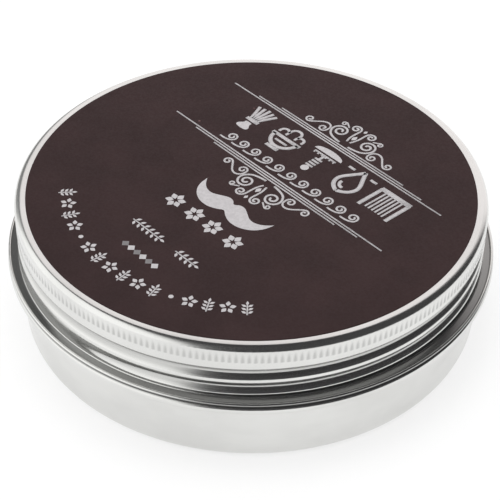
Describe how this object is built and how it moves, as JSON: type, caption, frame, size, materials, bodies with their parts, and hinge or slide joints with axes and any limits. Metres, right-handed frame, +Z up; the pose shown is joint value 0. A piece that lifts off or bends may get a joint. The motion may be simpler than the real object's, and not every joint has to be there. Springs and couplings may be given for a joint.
{
  "type": "shaving soap tin",
  "caption": "Round aluminium screw tin holding a pressed puck of shaving soap, with a knurled lid, a foam liner and a printed label.",
  "frame": {"origin": "centre of the tin's flat underside", "axes": "+Z up along the tin's axis; -Y is the side towards the viewer of the label"},
  "size_m": [0.083, 0.083, 0.0241],
  "materials": {
    "tin_metal": "satin, fine turned grain",
    "lid_metal": "satin, fine turned grain",
    "soap": "waxy, slightly translucent",
    "foam": "fine closed-cell foam",
    "label": "matte print with silver-grey marks"
  },
  "bodies": {
    "tin": {"tin_base": "tin_metal", "soap_puck": "soap"},
    "liner": {"lid_liner": "foam"},
    "lid": {"lid": "lid_metal", "lid_label": "label"}
  },
  "joints": [
    {"name": "lid_rise", "type": "slide", "parent": "tin", "child": "liner", "axis": [0, 0, 1], "range_m": [0, 0.058]},
    {"name": "lid_turn", "type": "hinge", "parent": "liner", "child": "lid", "pos_m": [0, 0, 0.02], "axis": [0, 0, 1], "range_deg": [0, 7200]}
  ],
  "couplings": [
    {"joint": "lid_rise", "follows": "lid_turn", "m_per_rad": 0.00046155}
  ]
}
